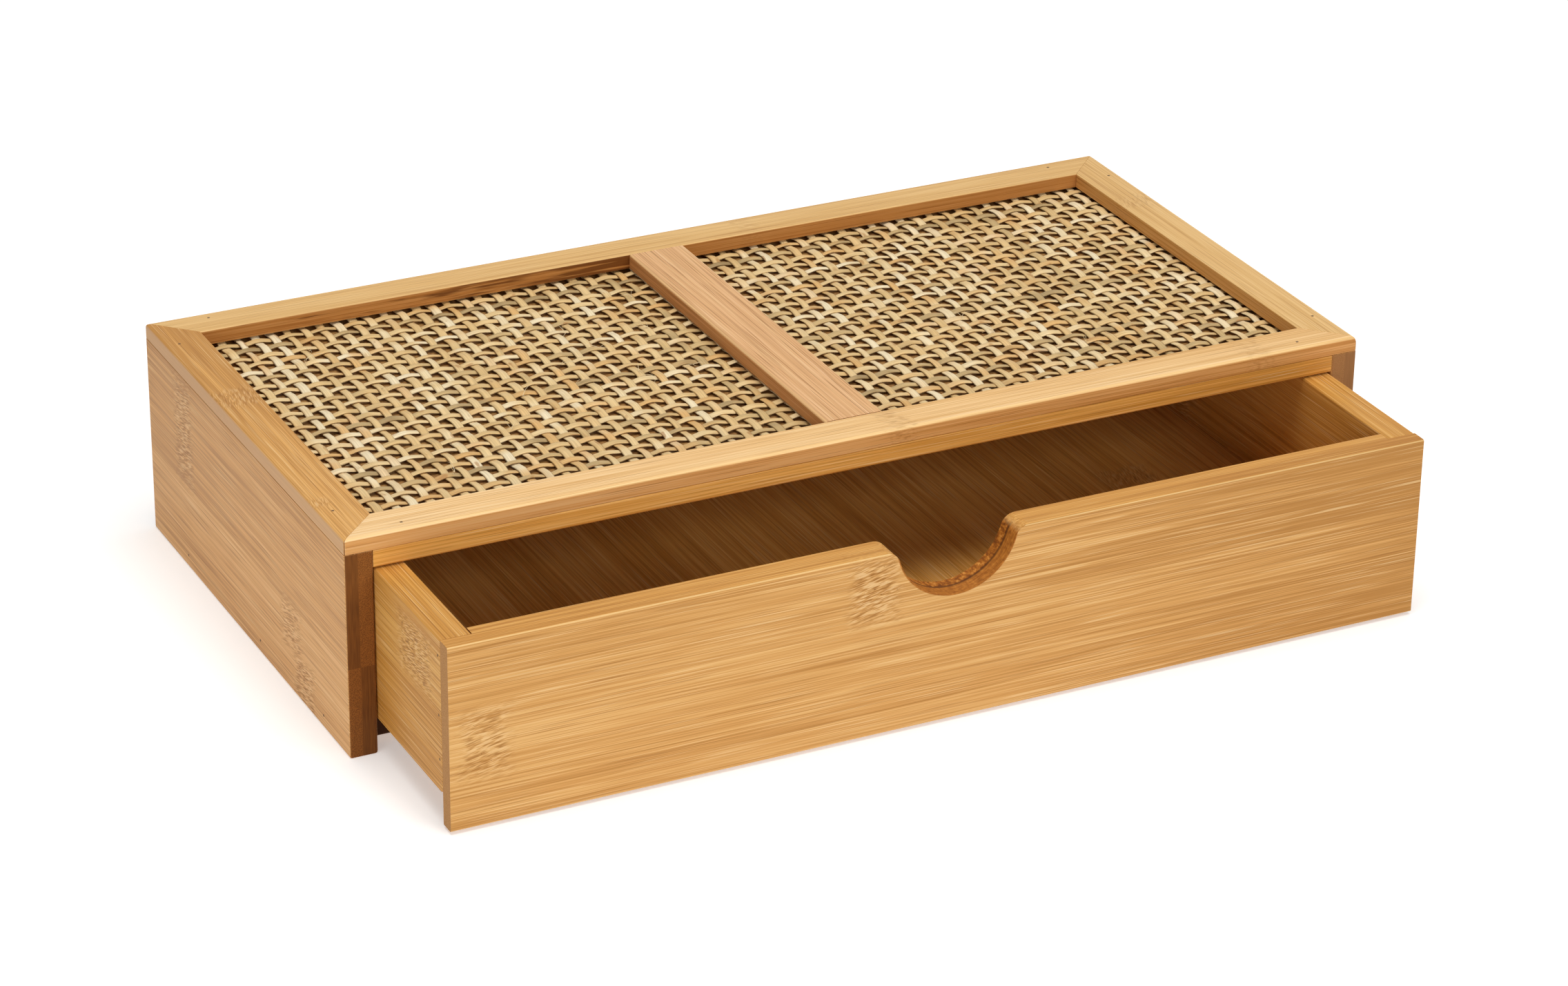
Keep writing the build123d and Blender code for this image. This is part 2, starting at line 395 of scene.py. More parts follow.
def draw_knuckles(board, wood, band):
    """A knuckle's flecks are short slanted dashes, pale and brown, with a few pores between. The dashes
    also paint the highlight and shade of a ruffled relief.
    """
    tree, lay = board.tree, board.lay
    slant = add(tree, "Mapping", {"Vector": board.place, "Rotation": lay(0, 0, 0.20)}).outputs[0]
    dash = grain(tree, slant, lay(3.6, 0.42, 0.42), 1.0).outputs["Fac"]
    dot = grain(tree, board.place, lay(1.1, 0.7, 0.7), 0.0).outputs["Fac"]
    marks = {}
    for tint, pattern, none, full, most in (
            (PALE_DASH_AND_HIGHLIGHT, dash, 0.48, 0.36, 0.50), (BROWN_DASH_AND_SHADE, dash, 0.46, 0.68, 1.0),
            (OPEN_PORE, dot, 0.80, 0.84, 1.0)):
        mark = add(tree, "MapRange", {"Value": pattern, "From Min": none, "From Max": full,
                                      "To Max": most}).outputs[0]
        mark = add(tree, "Math", {0: band, 1: mark}, operation="MULTIPLY").outputs[0]
        wood = add(tree, "Mix", {SHARE: mark, UNDER: wood, OVER: colour(tint)},
                   data_type="RGBA").outputs[MIXED]
        marks[tint] = mark
    return wood, marks[BROWN_DASH_AND_SHADE]


def paint_side_shade_and_arris(board, wood, side_shade_tone, side_shade_blend, arris_wear_and_highlight):
    """Painted shade on the faces that look across the strips, such as a rail's front or a stile's side, and
    a painted highlight with some wear along the rounded arrises.
    """
    tree = board.tree
    # painted shade: faces turned across the strips are darkened, or given a shaded tone, as they get less
    # light
    rim = add(tree, "Math", {0: board.facing[board.across]}, operation="ABSOLUTE").outputs[0]
    shaded_side = add(tree, "MapRange", {"Value": rim, "From Min": 0.7, "From Max": 0.95,
                                   "To Max": 0.75}).outputs[0]
    wood = add(tree, "Mix", {SHARE: shaded_side, UNDER: wood, OVER: colour(side_shade_tone)},
               data_type="RGBA", blend_type=side_shade_blend).outputs[MIXED]
    # a rounded arris is lightened, partly wear to the pale wood and partly painted highlight, but not where
    # it turns into a sawn end
    arris_lightening = arris_wear_and_highlight
    for slope, none, full in ((rim, 0.12, 0.4), (rim, 0.97, 0.75), (board.endways, 0.4, 0.15)):
        kept = add(tree, "MapRange", {"Value": slope, "From Min": none, "From Max": full}).outputs[0]
        arris_lightening = add(tree, "Math", {0: arris_lightening, 1: kept}, operation="MULTIPLY").outputs[0]
    return add(tree, "Mix", {SHARE: arris_lightening, UNDER: wood, OVER: colour(ARRIS_WEAR_AND_HIGHLIGHT)},
               data_type="RGBA").outputs[MIXED]


def streak_inner_face(board, wood, dark_streak):
    """A ragged dark brown streak, on one side only, along part of the board's length."""
    tree, along = board.tree, board.axes[board.along]
    start_mm, full_mm, stop_mm, gone_mm = dark_streak
    torn = grain(tree, board.place, board.lay(30, 4, 1.6), 3.0).outputs["Fac"]
    rise = add(tree, "MapRange", {"Value": along, "From Min": start_mm * MM, "From Max": full_mm * MM,
                                  "To Min": 0.36, "To Max": 0.60}).outputs[0]
    fall = add(tree, "MapRange", {"Value": along, "From Min": stop_mm * MM, "From Max": gone_mm * MM,
                                  "To Max": -0.6}).outputs[0]
    skin = add(tree, "Math", {0: rise, 1: fall}, operation="ADD").outputs[0]
    skin = add(tree, "Math", {0: skin, 1: torn}, operation="SUBTRACT").outputs[0]
    skin = add(tree, "MapRange", {"Value": skin, "From Min": -0.05, "From Max": 0.06,
                                  "To Max": 0.9}).outputs[0]
    inside = add(tree, "MapRange", {"Value": board.facing[board.across], "From Min": -0.7,
                                    "From Max": -0.95}).outputs[0]
    skin = add(tree, "Math", {0: skin, 1: inside}, operation="MULTIPLY").outputs[0]
    return add(tree, "Mix", {SHARE: skin, UNDER: wood, OVER: colour(STREAK_BROWN)},
               data_type="RGBA").outputs[MIXED]


def sawn_end(board, number, sawn_tones, ply_mm):
    """A sawn end is brown, with the dark pores of the cut fibres."""
    tree = board.tree
    sawn, dark = [colour(text) for text in sawn_tones]
    pores = add(tree, "Mapping", {"Vector": board.place, "Scale": [PORES_PER_MM / MM] * 3}).outputs[0]
    pore = add(tree, "TexVoronoi", {"Vector": pores, "Scale": 1.0}, feature="F1").outputs["Distance"]
    pore = add(tree, "MapRange", {"Value": pore, "From Min": 0.58, "From Max": 0.22,
                                  "To Max": 0.8}).outputs[0]
    if ply_mm is not None:
        # a strip has open pores in one half and is close in the other, and by turns lies either way
        blur_mm = 0.15
        side = add(tree, "Math", {0: board.axes[board.through]}, operation="ABSOLUTE").outputs[0]
        inner = add(tree, "MapRange", {"Value": side, "From Min": (ply_mm + blur_mm) * MM,
                                       "From Max": (ply_mm - blur_mm) * MM}).outputs[0]
        turned = add(tree, "Math", {0: number, 1: 2.0}, operation="FLOORED_MODULO").outputs[0]
        close = add(tree, "Math", {0: inner, 1: turned}, operation="SUBTRACT").outputs[0]
        close = add(tree, "Math", {0: close}, operation="ABSOLUTE").outputs[0]
        pore = add(tree, "MapRange", {"Value": close, "To Min": pore, "To Max": 0.0}).outputs[0]
        fine = grain(tree, board.place, (0.5, 0.5, 9), 2.0).outputs["Fac"]
        fine = add(tree, "MapRange", {"Value": fine, "From Min": 0.3, "From Max": 0.7,
                                      "To Min": 0.32, "To Max": 0.78}).outputs[0]
        fine = add(tree, "Math", {0: fine, 1: close}, operation="MULTIPLY").outputs[0]
        sawn = add(tree, "Mix", {SHARE: fine, UNDER: sawn, OVER: dark}, data_type="RGBA").outputs[MIXED]
    return add(tree, "Mix", {SHARE: pore, UNDER: sawn, OVER: dark}, data_type="RGBA").outputs[MIXED]


def cut_notch(board, sawn, end, notch):
    """A round saw leaves a notch brown all over, scorched where it ran clean, flecked where it tore."""
    tree, place = board.tree, board.place
    height_mm, radius_mm, shoulder_mm, joint_mm, torn_share = notch
    spoke = add(tree, "Mapping", {"Vector": place, "Location": (0, 0, -height_mm * MM),
                                  "Scale": (1, 0, 1)}).outputs[0]
    reach = add(tree, "VectorMath", {0: spoke}, operation="LENGTH").outputs["Value"]
    # the colour ends on the broken edge, just outside the cut
    kerf = add(tree, "MapRange", {"Value": reach, "From Min": (radius_mm + 0.45) * MM,
                                  "From Max": (radius_mm + 0.25) * MM}).outputs[0]
    torn = grain(tree, place, (0.9, 1.8, 0.9), 3.0).outputs["Fac"]
    torn = add(tree, "ValToRGB", {0: torn}, (
        (0.30, "#5A2E0C"), (0.72, "#D39245"), (0.44, "#8A4C15"), (0.58, "#B06B24"))).outputs[0]
    scorch = grain(tree, place, (2.5, 0.6, 2.5), 2.0).outputs["Fac"]
    scorch = add(tree, "ValToRGB", {0: scorch}, ((0.30, "#8C4F17"), (0.70, "#BE792F"))).outputs[0]
    burnt = add(tree, "Mix", {SHARE: torn_share, UNDER: scorch, OVER: torn},
                data_type="RGBA").outputs[MIXED]
    # a dark seam where the two fronts meet
    seam = add(tree, "Math", {0: board.axes[board.through], 1: -joint_mm * MM},
               operation="ADD").outputs[0]
    seam = add(tree, "Math", {0: seam}, operation="ABSOLUTE").outputs[0]
    seam = add(tree, "MapRange", {"Value": seam, "From Min": 0.75 * MM, "From Max": 0.2 * MM,
                                  "To Max": 0.8}).outputs[0]
    burnt = add(tree, "Mix", {SHARE: seam, UNDER: burnt, OVER: colour(NOTCH_SEAM)},
                data_type="RGBA").outputs[MIXED]
    # the shoulders beside it are sawn with it
    wide = add(tree, "Math", {0: board.axes[board.along]}, operation="ABSOLUTE").outputs[0]
    wide = add(tree, "MapRange", {"Value": wide, "From Min": (radius_mm + shoulder_mm + 1) * MM,
                                  "From Max": (radius_mm + shoulder_mm) * MM}).outputs[0]
    sawn = add(tree, "Mix", {SHARE: wide, UNDER: sawn, OVER: burnt}, data_type="RGBA").outputs[MIXED]
    end = add(tree, "Math", {0: end, 1: kerf}, operation="MAXIMUM").outputs[0]
    return sawn, end


def laminated_bamboo(name, along, across, tones, strip_mm, first_mm, knuckles=(), vein=0.5,
                     sawn_tones=BROWN_END, ply_mm=None, notch=None, side_shade_tone=None,
                     side_shade_blend="MULTIPLY", arris_wear_and_highlight=0.3, dark_streak=None, falloff_shade=None, lot_seed=0.0):
    """Bamboo with its fibres along one axis and its strips stacked across another.

    These places and sizes are in millimetres. A knuckle is given by its middle along and across
    the fibres, half its length, half its breadth, and how strongly it shows. A painted shade, for
    light falling off along the fibres, is given by where it starts and stops, and its change of
    tone. A dark streak is given by where it starts, is full, stops and is gone. A notch is given
    by its middle's height, its radius, its shoulder's radius, where the two fronts meet, and how
    much of it is torn.
    """
    board = Board(name, along, across)
    tree = board.tree
    number, lot, slipped = strips(board, strip_mm, first_mm, lot_seed)
    # one ruffle makes the knuckles ragged and bends the fibres round them
    ruffle = grain(tree, board.place, board.lay(6, 1.6, 1.6), 2.0).outputs["Color"]
    ruffle = add(tree, "VectorMath", {0: ruffle, 1: MIDDLE_GREY}, operation="SUBTRACT").outputs[0]
    band = knuckle_band(board, ruffle, knuckles)
    run = fibre_run(board, slipped, ruffle, band)
    wood, fibre = planed_face(board, run, lot, tones, falloff_shade)
    wood = draw_veins(board, wood, run, band, vein)
    wood, dashes = draw_knuckles(board, wood, band)
    # painted shade on the faces across the strips, and painted highlight along the arrises
    if side_shade_tone is not None:
        wood = paint_side_shade_and_arris(board, wood, side_shade_tone, side_shade_blend, arris_wear_and_highlight)
    if dark_streak is not None:
        wood = streak_inner_face(board, wood, dark_streak)
    sawn = sawn_end(board, number, sawn_tones, ply_mm)
    end = add(tree, "MapRange", {"Value": board.endways, "From Min": 0.55, "From Max": 0.85}).outputs[0]
    if notch is not None:
        sawn, end = cut_notch(board, sawn, end, notch)
    wood = add(tree, "Mix", {SHARE: end, UNDER: wood, OVER: sawn}, data_type="RGBA").outputs[MIXED]
    # satin lacquer, a little duller on fibres and sawn ends, and dented at a knuckle's dashes
    rough = add(tree, "Math", {0: fibre, 1: 0.12, 2: 0.42}, operation="MULTIPLY_ADD").outputs[0]
    rough = add(tree, "Math", {0: end, 1: 0.15, 2: rough}, operation="MULTIPLY_ADD").outputs[0]
    dents = add(tree, "Math", {0: dashes, 1: -0.3, 2: fibre}, operation="MULTIPLY_ADD").outputs[0]
    relief = add(tree, "Bump", {"Strength": 0.25, "Distance": 0.06 * MM, "Height": dents}).outputs[0]
    lacquer = add(tree, "BsdfPrincipled", {"Base Color": wood, "Roughness": rough,
                                           "Specular IOR Level": 0.16, "Normal": relief}).outputs[0]
    add(tree, "OutputMaterial", {"Surface": lacquer})
    return board.material


# Rattan splits: the peeled cane is cut into flat strands and woven raw.
# No two strands have the same straw, cream or grey-green tone, each is streaked along
# its length, darker at its edges, with a brown scar here and there. It is nearly matt.

def split_rattan():
    """Raw cane strands, which read from their mesh how they lie: along, across and their tone."""
    made, tree = start_material("split_rattan")
    lies = add(tree, "Attribute", attribute_name="strand_lay").outputs["Vector"]
    parts = add(tree, "SeparateXYZ", {0: lies}).outputs
    # strands of different tone lie far apart in the pattern, so that no two look alike
    far = add(tree, "VectorMath", {0: lies, 1: (1, 1, 40)}, operation="MULTIPLY").outputs[0]
    run = grain(tree, far, (17, 40, 300), 2.0).outputs["Fac"]
    tone = add(tree, "Math", {0: run, 1: 1.3, 2: -0.65}, operation="MULTIPLY_ADD").outputs[0]
    tone = add(tree, "Math", {0: parts["Z"], 1: tone}, operation="ADD").outputs[0]
    cane = add(tree, "ValToRGB", {0: tone}, (
        (0.0, "#EEDBB4"), (1.0, "#9C8155"), (0.22, "#E4C690"), (0.45, "#D9B67C"),
        (0.65, "#C9AA74"), (0.82, "#B49868"))).outputs[0]
    # here and there a stretch is warm and orange, as next to a leaf scar
    warm = add(tree, "VectorMath", {0: far, 1: (0.35, 0, 0.2)}, operation="ADD").outputs[0]
    warm = grain(tree, warm, (22, 40, 300), 1.0).outputs["Fac"]
    warm = add(tree, "MapRange", {"Value": warm, "From Min": 0.54, "From Max": 0.68,
                                  "To Max": 0.7}).outputs[0]
    cane = add(tree, "Mix", {SHARE: warm, UNDER: cane, OVER: colour("#D9A763")},
               data_type="RGBA").outputs[MIXED]
    # fibres along the strand, drawn at 0.4 mm so that they show
    fibre = grain(tree, far, (14, 0.4, 300), 2.0).outputs["Fac"]
    streak = add(tree, "MapRange", {"Value": fibre, "From Min": 0.38, "From Max": 0.62,
                                    "To Min": 0.88, "To Max": 1.07}).outputs[0]
    cane = add(tree, "VectorMath", {0: cane, "Scale": streak}, operation="SCALE").outputs[0]
    # scars of leaf sheaths and handling, and the darker edges of the strand
    scar = grain(tree, far, (7, 3.0, 300), 1.0).outputs["Fac"]
    scar = add(tree, "MapRange", {"Value": scar, "From Min": 0.68, "From Max": 0.76,
                                  "To Max": 0.65}).outputs[0]
    side = add(tree, "Math", {0: parts["Y"]}, operation="ABSOLUTE").outputs[0]
    edge = add(tree, "MapRange", {"Value": side, "From Min": 1.0 * MM, "From Max": 1.65 * MM,
                                  "To Max": 0.22}).outputs[0]
    for mask, tint in ((scar, "#A8743C"), (edge, "#8F7145")):
        cane = add(tree, "Mix", {SHARE: mask, UNDER: cane, OVER: colour(tint)},
                   data_type="RGBA").outputs[MIXED]
    relief = add(tree, "Bump", {"Strength": 0.35, "Distance": 0.08 * MM, "Height": fibre}).outputs[0]
    skin = add(tree, "BsdfPrincipled", {"Base Color": cane, "Roughness": 0.55,
                                        "Specular IOR Level": 0.3, "Normal": relief}).outputs[0]
    add(tree, "OutputMaterial", {"Surface": skin})
    return made


# Fibreboard: pressed brown wood fibre, plain and matt, faintly mottled.

def brown_fibreboard():
    """The board under the cane."""
    made, tree = start_material("brown_fibreboard")
    place = add(tree, "TexCoord").outputs["Object"]
    cloud = grain(tree, place, (9, 14, 9), 3.0).outputs["Fac"]
    speck = grain(tree, place, (0.8, 1.6, 0.8), 2.0).outputs["Fac"]
    tone = add(tree, "Math", {0: cloud, 1: speck}, operation="ADD").outputs[0]
    board = add(tree, "ValToRGB", {0: tone}, ((0.75, "#7A5226"), (1.0, "#A0743E"))).outputs[0]
    skin = add(tree, "BsdfPrincipled", {"Base Color": board, "Roughness": 0.75, "IOR": 1.45}).outputs[0]
    add(tree, "OutputMaterial", {"Surface": skin})
    return made


# Brad steel: drawn wire, tarnished brown and dulled by the lacquer, so that it hardly glints.

def dulled_steel():
    """The cut ends of the brads."""
    made, tree = start_material("dulled_steel_brads")
    place = add(tree, "TexCoord").outputs["Object"]
    tarnish = grain(tree, place, (0.5, 0.5, 0.5), 2.0).outputs["Fac"]
    metal = add(tree, "ValToRGB", {0: tarnish}, ((0.35, "#4A3116"), (0.7, "#7A562B"))).outputs[0]
    skin = add(tree, "BsdfPrincipled", {"Base Color": metal, "Metallic": 0.25, "Roughness": 0.6}).outputs[0]
    add(tree, "OutputMaterial", {"Surface": skin})
    return made


# The case: side panels, back, bottom and apron

# a side panel's strips have two halves, told apart on their sawn ends, and this is the outer one
OUTER_PLY_MM = 4.2
# a hair's breadth is left under the frame, so that the joints show as fine lines
JOINT_MM = 0.15
# a side panel's edges: all are broken, those that show a little more, and the inner one below most
BROKEN_MM, SHOWN_MM, INNER_FOOT_MM = 0.25, 0.6, 1.0

ply_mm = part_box("right_side_panel")[1][X] / MM - OUTER_PLY_MM
left_panel_bamboo = laminated_bamboo(
    "left_panel_bamboo", Y, Z, ROSY, strip_mm=38.0, first_mm=-8.0, vein=0.7, ply_mm=ply_mm,
    falloff_shade=(-50, 110, -0.13), lot_seed=3.0,
    knuckles=((81, 49, 8, 19, 0.9), (-12, 22, 9, 9, 0.8), (-22, 7, 9, 9, 0.9)))
right_panel_bamboo = laminated_bamboo(
    "right_panel_bamboo", Y, Z, ROSY, strip_mm=38.0, first_mm=-8.0, sawn_tones=TAN_END, ply_mm=ply_mm,
    lot_seed=11.0, knuckles=((20, 11, 7, 19, 0.5), (64, 49, 7, 19, 0.45)))
cross_bamboo = laminated_bamboo(
    "cross_panel_bamboo", X, Z, GOLDEN, strip_mm=22.0, first_mm=2.0, lot_seed=17.0,
    knuckles=((-96, 13, 6, 11, 0.5), (58, 35, 6, 11, 0.5), (120, 57, 6, 11, 0.5)))
# the bottom board's sawn front end carries painted shadow
base_bamboo = laminated_bamboo(
    "base_bamboo", Y, X, GOLDEN, strip_mm=21.0, first_mm=0.0, sawn_tones=SHADOWED_END, lot_seed=67.0,
    knuckles=((12, 52, 7, 10, 0.7),))
floor_bamboo = laminated_bamboo(
    "floor_bamboo", Y, X, HONEY, strip_mm=21.0, first_mm=0.0, lot_seed=23.0,
    knuckles=((62, 31, 7, 10, 0.6), (-40, -94, 7, 10, 0.6), (-20, 115, 7, 10, 0.6)))
apron_bamboo = laminated_bamboo(
    "apron_bamboo", X, Y, HONEY, strip_mm=12.0, first_mm=-60.0, falloff_shade=(60, 165, -0.2), lot_seed=29.0)

for side, finish in (("left", left_panel_bamboo), ("right", right_panel_bamboo)):
    low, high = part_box(side + "_side_panel")
    high = high[X], high[Y], high[Z] - JOINT_MM * MM
    panel = block(side + "_panel_board", low, high)
    outside, inside = (low[X], high[X]) if side == "left" else (high[X], low[X])
    rounds = [([(a, p), (b, q)], BROKEN_MM) for a, b in ((X, Y), (X, Z), (Y, Z))
              for p in (low[a], high[a]) for q in (low[b], high[b])]
    rounds += [([(X, outside), (Y, low[Y])], SHOWN_MM), ([(X, outside), (Y, high[Y])], SHOWN_MM),
               ([(X, inside), (Y, low[Y])], SHOWN_MM), ([(X, outside), (Z, low[Z])], SHOWN_MM),
               ([(X, inside), (Z, low[Z])], INNER_FOOT_MM)]
    round_over(panel, rounds)
    polish(panel, arris_mm=0.25)
    dress(panel, "case", "bamboo", finish, side + "_side_panel")

low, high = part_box("back_panel")
back = block("back_board", low, high)
ease(back, edge_pair(low, high, Y, (Z, low[Z])), radius_mm=1.0)
polish(back, arris_mm=0.4)
dress(back, "case", "bamboo", cross_bamboo, "back_panel")

base_low, base_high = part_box("bottom_board")
base = block("base_board", base_low, base_high)
ease(base, edge_pair(base_low, base_high, Z, (Y, base_low[Y])), radius_mm=1.0)
polish(base, arris_mm=0.4)
dress(base, "case", "bamboo", base_bamboo, "bottom_board")

low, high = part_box("front_apron")
apron = block("apron_strip", low, (high[X], high[Y], high[Z] - JOINT_MM * MM))
ease(apron, edge_pair(low, high, Y, (Z, low[Z])), radius_mm=0.9)
polish(apron, arris_mm=0.35)
dress(apron, "case", "bamboo", apron_bamboo, "front_apron")


# The tray frame: one ring, eased all round, then sawn into four mitred members

# sanded over: the right edge most, then the back, the left and the front, the upright corners least
RIGHT_ROUND_MM, BACK_ROUND_MM, LEFT_ROUND_MM, FRONT_ROUND_MM = 3.2, 1.2, 1.0, 1.0
CORNER_ROUND_MM = 0.7
RIM_ROUND_MM = 0.5
# the opening's cutter reaches this far past the ring
OVERCUT = 5 * MM

front_low, front_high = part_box("front_rail")
back_low, back_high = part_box("back_rail")
left_low, left_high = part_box("left_stile")
right_low, right_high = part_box("right_stile")
ring_low = (left_low[X], front_low[Y], front_low[Z])
ring_high = (right_high[X], back_high[Y], back_high[Z])
hole_low = (left_high[X], front_high[Y], front_low[Z])
hole_high = (right_low[X], back_low[Y], back_high[Z])
ring = block("tray_ring", ring_low, ring_high)
cut_away(ring, block("opening_cutter", (hole_low[X], hole_low[Y], hole_low[Z] - OVERCUT),
                     (hole_high[X], hole_high[Y], hole_high[Z] + OVERCUT)))
top = ring_high[Z]
ease(ring, edge_pair(hole_low, hole_high, X, (Z, top)) + edge_pair(hole_low, hole_high, Y, (Z, top)),
     RIM_ROUND_MM, segments=3)
rounds = [([(X, ring_high[X]), (Z, top)], RIGHT_ROUND_MM), ([(X, ring_low[X]), (Z, top)], LEFT_ROUND_MM),
          ([(Y, ring_low[Y]), (Z, top)], FRONT_ROUND_MM), ([(Y, ring_high[Y]), (Z, top)], BACK_ROUND_MM)]
rounds += [([(X, x), (Y, y)], CORNER_ROUND_MM) for x in (ring_low[X], ring_high[X])
           for y in (ring_low[Y], ring_high[Y])]
round_over(ring, rounds)

front_rail_bamboo = laminated_bamboo(
    "front_rail_bamboo", X, Y, CREAM, strip_mm=15.0, first_mm=-60.0, side_shade_tone="#DBB684",
    falloff_shade=(-60, 140, -0.22), lot_seed=31.0, knuckles=((10, -53, 5, 8, 0.5), (139, -53, 5, 8, 0.4)))
back_rail_bamboo = laminated_bamboo(
    "back_rail_bamboo", X, Y, SANDY, strip_mm=15.0, first_mm=99.5, side_shade_tone="#C8985F",
    dark_streak=(-110, -20, -10, -4), lot_seed=37.0, knuckles=((36, 107, 4, 8, 0.35),))
left_stile_bamboo = laminated_bamboo(
    "left_stile_bamboo", Y, X, OCHRE, strip_mm=15.0, first_mm=-175.5, vein=0.7, side_shade_tone="#CFA376",
    side_shade_blend="MIX", arris_wear_and_highlight=0.0, falloff_shade=(-40, 110, -0.36), lot_seed=41.0,
    knuckles=((48, -168, 7, 8, 0.7), (-32, -172, 3, 3, 0.7)))
right_stile_bamboo = laminated_bamboo(
    "right_stile_bamboo", Y, X, SANDY, strip_mm=15.0, first_mm=160.5, side_shade_tone="#E2C49C",
    lot_seed=43.0, knuckles=((70, 168, 5, 8, 0.35),))
bar_bamboo = laminated_bamboo(
    "bar_bamboo", Y, X, PINKISH, strip_mm=21.0, first_mm=-10.5, vein=0.8, side_shade_tone="#DDBE98",
    lot_seed=47.0)

middle_y = (ring_low[Y] + ring_high[Y]) / 2
# each mitre as a point of its cut, and the way the cut looks when a rail is kept
mitres = {
    "front_left": ((ring_low[X], ring_low[Y], 0), (-1, 1, 0)),
    "front_right": ((ring_high[X], ring_low[Y], 0), (1, 1, 0)),
    "back_left": ((ring_low[X], ring_high[Y], 0), (-1, -1, 0)),
    "back_right": ((ring_high[X], ring_high[Y], 0), (1, -1, 0))}
# each member with its mitres, which side of them it keeps, the half of the ring it is in, its wood
members = (
    ("front_rail", ("front_left", "front_right"), 1, ((0, middle_y, 0), (0, 1, 0)), front_rail_bamboo),
    ("back_rail", ("back_left", "back_right"), 1, ((0, middle_y, 0), (0, -1, 0)), back_rail_bamboo),
    ("left_stile", ("front_left", "back_left"), -1, ((0, 0, 0), (1, 0, 0)), left_stile_bamboo),
    ("right_stile", ("front_right", "back_right"), -1, ((0, 0, 0), (-1, 0, 0)), right_stile_bamboo))
for node, ends, turn, half, finish in members:
    member = twin(ring)
    member.name = node + "_member"
    saw(member, *half)
    for end in ends:
        place, normal = mitres[end]
        saw(member, place, [turn * c for c in normal])
    polish(member, arris_mm=0.2)
    dress(member, "case", "bamboo", finish, node)
bpy.data.objects.remove(ring, do_unlink=True)

low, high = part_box("centre_bar")
bar = block("bar_strip", low, high)
ease(bar, edge_pair(low, high, X, (Z, high[Z])), radius_mm=1.0)
polish(bar, arris_mm=0.15)
dress(bar, "case", "bamboo", bar_bamboo, "centre_bar")


# The drawer: a thin show front glued to a boxed tray, with a finger notch through both

# the notch's middle lies this much above the front's upper edge
NOTCH_RISE_MM = 2.2
NOTCH_RADIUS_MM = 20.4
SHOULDER_MM = 5.0
NOTCH_SIDES, SHOULDER_SIDES = 160, 96
NOTCH_CUTTER_LENGTH = 60 * MM
# how much of the notch's face is torn
SMOOTH_CUT, TORN_CUT = 0.3, 0.9
GROOVE_PLAY = 0.1 * MM

low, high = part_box("drawer_front")
rim = high[Z]
notch = rim / MM + NOTCH_RISE_MM, NOTCH_RADIUS_MM, SHOULDER_MM, high[Y] / MM
front_bamboo = laminated_bamboo(
    "show_front_bamboo", X, Z, GOLDEN, strip_mm=23.4, first_mm=-8.4, sawn_tones=GREY_END,
    notch=(*notch, SMOOTH_CUT), side_shade_tone="#FFF2C8", arris_wear_and_highlight=0.45,
    falloff_shade=(20, 165, -0.26), lot_seed=53.0,
    knuckles=((-28, 50, 8.5, 11.5, 1.0), (-154, 28, 8.5, 12, 0.8)))
inner_front_bamboo = laminated_bamboo(
    "inner_front_bamboo", X, Z, GOLDEN, strip_mm=23.4, first_mm=-2.0, notch=(*notch, TORN_CUT),
    side_shade_tone="#FFF2C8", lot_seed=59.0, knuckles=((70, 33, 7, 11, 0.6),))
drawer_side_bamboo = laminated_bamboo(
    "drawer_side_bamboo", Y, Z, AMBER, strip_mm=25.0, first_mm=11.0, vein=0.85, lot_seed=61.0,
    knuckles=((-89, 48, 13, 10, 0.95),))
right_side_bamboo = laminated_bamboo(
    "drawer_right_side_bamboo", Y, Z, AMBER, strip_mm=25.0, first_mm=11.0, lot_seed=71.0,
    knuckles=((15, 24, 8, 12, 0.6),))


def shoulder_cutter(hand, near, far):
    """What is left of a small block when the shoulder's round is taken out of it."""
    over = 3 * MM
    sum_mm = NOTCH_RADIUS_MM + SHOULDER_MM
    drop_mm = NOTCH_RISE_MM + SHOULDER_MM
    out = math.sqrt(sum_mm ** 2 - drop_mm ** 2) * MM
    # where the two rounds meet
    share = NOTCH_RADIUS_MM / sum_mm
    meets_x = out * share
    meets_z = rim + (NOTCH_RISE_MM - drop_mm * share) * MM
    xs = sorted((hand * (meets_x - over), hand * out))
    cutter = block("shoulder_cutter", (xs[0], near - over, meets_z), (xs[1], far + over, rim + over))
    middle = (hand * out, (near + far) / 2, rim - SHOULDER_MM * MM)
    length = far - near + 4 * over
    cut_away(cutter, round_bar("shoulder_round", middle, SHOULDER_MM, length, SHOULDER_SIDES))
    return cutter


for node, name, finish in (("drawer_front", "show_front_board", front_bamboo),
                           ("drawer_inner_front", "inner_front_board", inner_front_bamboo)):
    low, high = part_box(node)
    panel = block(name, low, high)
    if node == "drawer_front":
        ease(panel, edge_pair(low, high, Z, (Y, low[Y])), radius_mm=0.6, segments=3)
    middle = (0, (low[Y] + high[Y]) / 2, rim + NOTCH_RISE_MM * MM)
    cut_away(panel, round_bar("notch_cutter", middle, NOTCH_RADIUS_MM, NOTCH_CUTTER_LENGTH,
                              NOTCH_SIDES))
    for hand in (-1, 1):
        cut_away(panel, shoulder_cutter(hand, low[Y], high[Y]))
    polish(panel, arris_mm=0.4)
    dress(panel, "drawer", "bamboo", finish, node)

